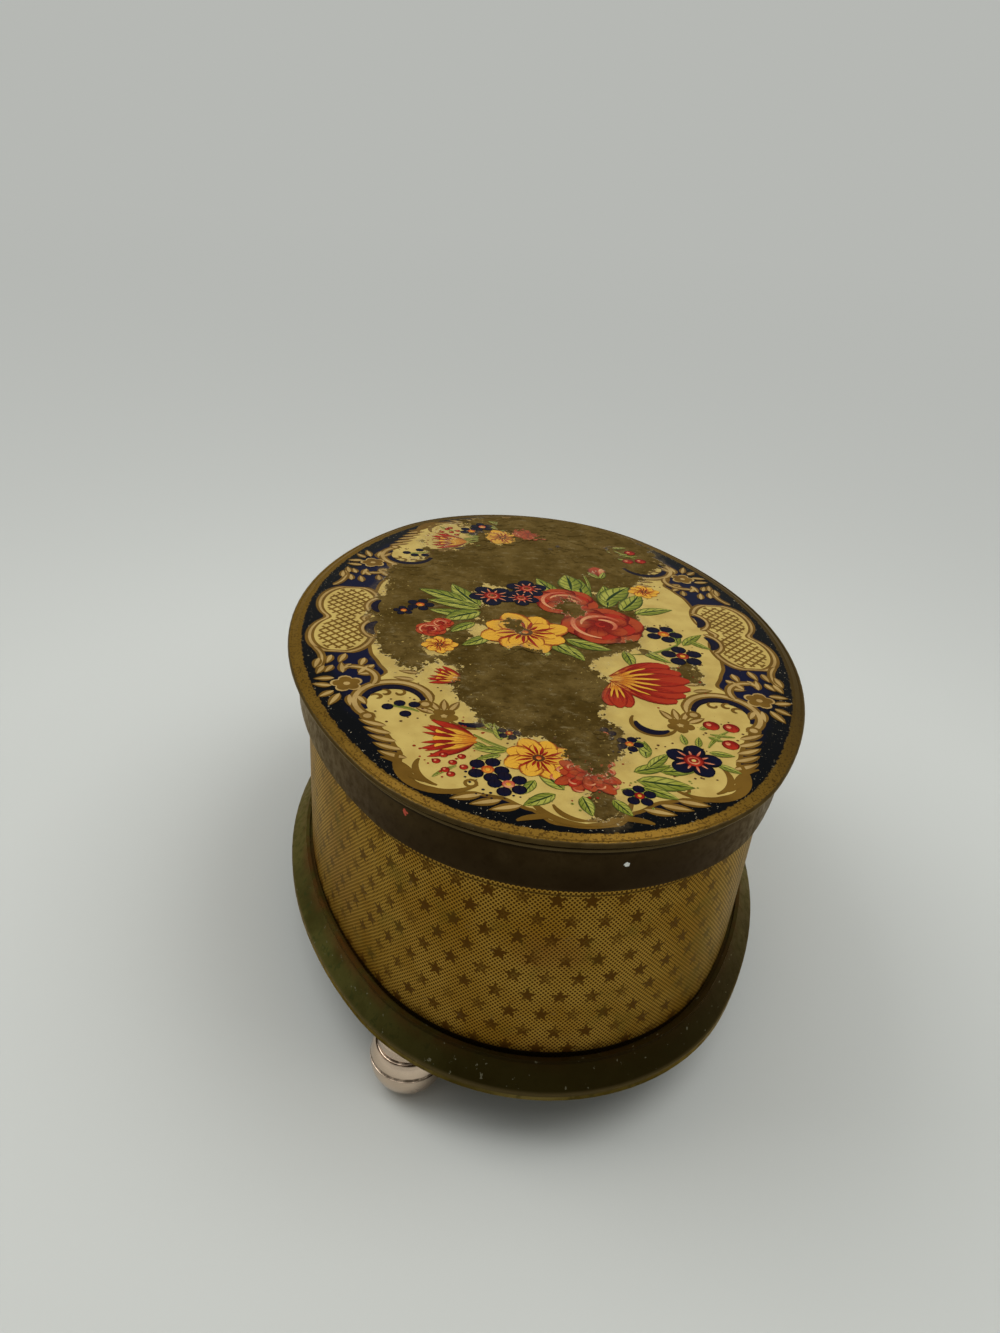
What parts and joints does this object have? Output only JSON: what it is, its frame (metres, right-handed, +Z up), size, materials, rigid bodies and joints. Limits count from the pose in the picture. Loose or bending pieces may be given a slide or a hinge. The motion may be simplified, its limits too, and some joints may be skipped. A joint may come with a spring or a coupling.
{
  "type": "trinket box",
  "caption": "Oval sheet-metal trinket box with a lift-off printed lid, a star-printed wall, a pressed base flange and turned ball feet.",
  "frame": {"origin": "on the floor under the middle of the box", "axes": "+Z up, X along the oval's long axis, Y across it"},
  "size_m": [0.1034, 0.0746, 0.047],
  "materials": {
    "lid_print": "worn printed tinplate",
    "aged_brass": "dark tarnished",
    "wall_print": "gold print, satin",
    "inside_brass": "dull",
    "foot_metal": "polished, pale rose gold",
    "screw_steel": "plain"
  },
  "bodies": {
    "box": {"body_wall": "wall_print", "body_floor": "inside_brass", "base_flange": "aged_brass", "base_plate": "aged_brass", "foot_front": "foot_metal", "foot_back": "foot_metal", "foot_side": "foot_metal", "foot_screws": "screw_steel"},
    "lid": {"lid_panel": "lid_print", "lid_band": "aged_brass"}
  },
  "joints": [
    {"name": "lid_lift", "type": "slide", "parent": "box", "child": "lid", "axis": [0, 0, 1], "range_m": [0, 0.06]}
  ]
}
